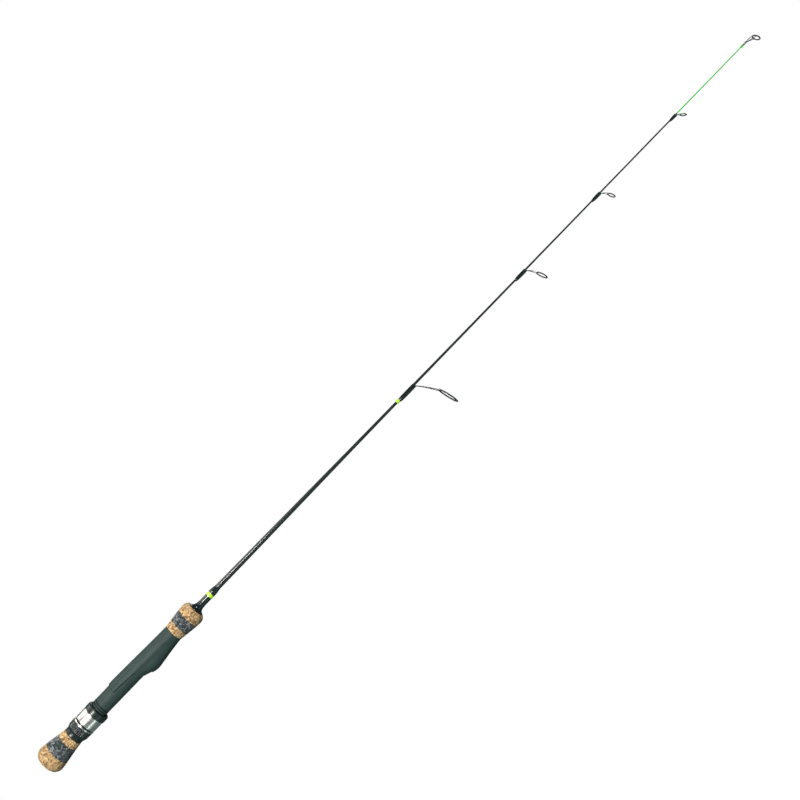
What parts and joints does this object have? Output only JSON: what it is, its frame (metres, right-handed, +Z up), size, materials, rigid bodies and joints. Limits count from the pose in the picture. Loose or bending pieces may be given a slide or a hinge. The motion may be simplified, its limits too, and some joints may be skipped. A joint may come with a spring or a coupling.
{
  "type": "spinning rod",
  "caption": "Short one-piece spinning rod: split cork handle, up-locking reel seat with screw-driven hood, tapered blank, leaning ring guides and a bright solid tip.",
  "frame": {"origin": "on the rod's axis, over the middle of the reel-foot bed, where the hand holds it", "axes": "+X along the rod towards the tip, +Z up, so the reel and the guides hang on the -Z side"},
  "size_m": [1.0161, 0.029, 0.058],
  "materials": {
    "burl_cork": "pressed burl cork, matte, coarse grain",
    "charcoal_cork": "dyed pressed cork, matte, speckled",
    "seat_composite": "satin fibre-filled nylon",
    "black_plastic": "moulded, semi-gloss",
    "black_gloss": "moulded, gloss",
    "hood_metal": "polished",
    "graphite": "clear-coated carbon laminate",
    "glass_tip": "clear-coated solid glass fibre, bright green",
    "wrap_black": "thread under epoxy",
    "trim_lime": "lime thread under epoxy",
    "tip_wrap_green": "thread under epoxy",
    "guide_metal": "dark polished stainless steel",
    "guide_ceramic": "polished dark ceramic",
    "arbor_foam": "rigid foam"
  },
  "bodies": {
    "rod": {"butt_cork": "burl_cork", "butt_charcoal_ring": "charcoal_cork", "butt_upper_cork_ring": "burl_cork", "seat_end_ring": "black_plastic", "seat_body": "seat_composite", "arbor_rear": "arbor_foam", "arbor_middle": "arbor_foam", "arbor_front": "arbor_foam", "fore_rear_cork_ring": "burl_cork", "fore_charcoal_ring": "charcoal_cork", "fore_front_cork_ring": "burl_cork", "winding_check": "black_gloss", "fore_wrap": "wrap_black", "fore_trim_band": "trim_lime", "fore_front_wrap": "wrap_black", "blank": "graphite", "tip_section": "glass_tip", "guide_1_trim_band": "trim_lime", "guide_1_frame": "guide_metal", "guide_1_ring": "guide_ceramic", "guide_1_wrap": "wrap_black", "guide_2_frame": "guide_metal", "guide_2_ring": "guide_ceramic", "guide_2_wrap": "wrap_black", "guide_3_frame": "guide_metal", "guide_3_ring": "guide_ceramic", "guide_3_wrap": "wrap_black", "guide_4_frame": "guide_metal", "guide_4_ring": "guide_ceramic", "guide_4_wrap": "wrap_black", "tip_wrap": "tip_wrap_green", "tip_top_frame": "guide_metal", "tip_top_ring": "guide_ceramic"},
    "hood": {"hood_shell": "hood_metal", "hood_liner": "black_plastic"},
    "nut": {"nut_body": "black_plastic", "nut_trim_ring": "hood_metal"}
  },
  "joints": [
    {"name": "hood_slide", "type": "slide", "parent": "rod", "child": "hood", "axis": [1, 0, 0], "range_m": [0, 0.0201]},
    {"name": "nut_turn", "type": "hinge", "parent": "hood", "child": "nut", "pos_m": [-0.058, 0, 0], "axis": [1, 0, 0], "range_deg": [0, 2880]}
  ],
  "couplings": [
    {"joint": "hood_slide", "follows": "nut_turn", "m_per_rad": 0.00039789}
  ]
}
